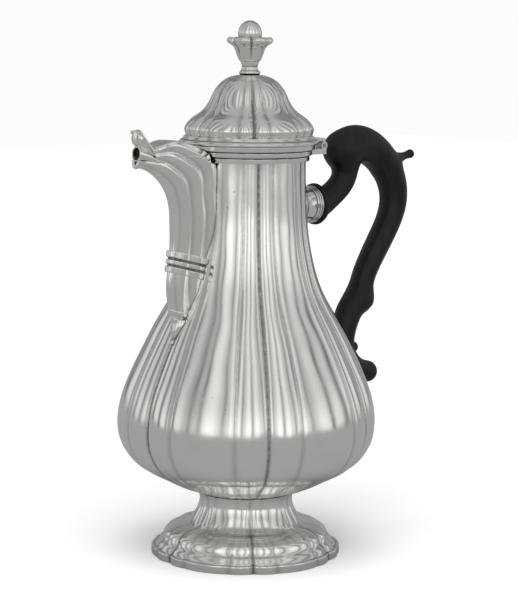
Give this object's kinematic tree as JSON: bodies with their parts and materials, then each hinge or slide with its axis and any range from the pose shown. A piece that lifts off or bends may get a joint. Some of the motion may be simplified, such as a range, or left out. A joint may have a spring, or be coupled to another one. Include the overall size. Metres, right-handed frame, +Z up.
{
  "type": "coffee pot",
  "caption": "Lobed pear-shaped silver coffee pot on a stepped foot, with a fluted beak spout, a hinged domed lid with a bud finial and a black double-scroll wooden handle.",
  "frame": {"origin": "on the table under the middle of the foot", "axes": "+Z up through the finial, the handle towards +X, the spout towards -X"},
  "size_m": [0.2011, 0.1414, 0.29],
  "materials": {
    "silver": "polished raised silver with fine scratches and grey tarnish in the creases",
    "silver_moulding": "polished cast and drawn silver with tarnish in its grooves",
    "handle_wood": "black stained hardwood, waxed to a soft sheen"
  },
  "bodies": {
    "pot": {"foot_rim": "silver", "foot": "silver", "foot_joint_ring": "silver", "body": "silver", "neck_collar": "silver_moulding", "spout": "silver", "spout_cover": "silver", "spout_upper_band": "silver_moulding", "spout_lower_rings": "silver_moulding", "spout_drop": "silver_moulding", "body_hinge_leaf": "silver_moulding", "hinge_pin": "silver_moulding", "upper_socket_plate": "silver_moulding", "upper_socket": "silver_moulding", "upper_handle_pin": "handle_wood", "lower_socket_plate": "silver_moulding", "lower_socket": "silver_moulding", "lower_handle_pin": "handle_wood", "handle": "handle_wood"},
    "lid": {"lid": "silver", "lid_flange": "silver_moulding", "lid_bezel": "silver", "lid_hinge_leaf": "silver_moulding", "finial_stem": "silver_moulding", "finial_calyx": "silver_moulding", "finial_bud": "silver_moulding", "finial_stud": "silver_moulding", "finial_nut": "silver_moulding"}
  },
  "joints": [
    {"name": "lid_hinge", "type": "hinge", "parent": "pot", "child": "lid", "pos_m": [0.047, 0, 0.2224], "axis": [0, 1, 0], "range_deg": [0, 95]}
  ]
}
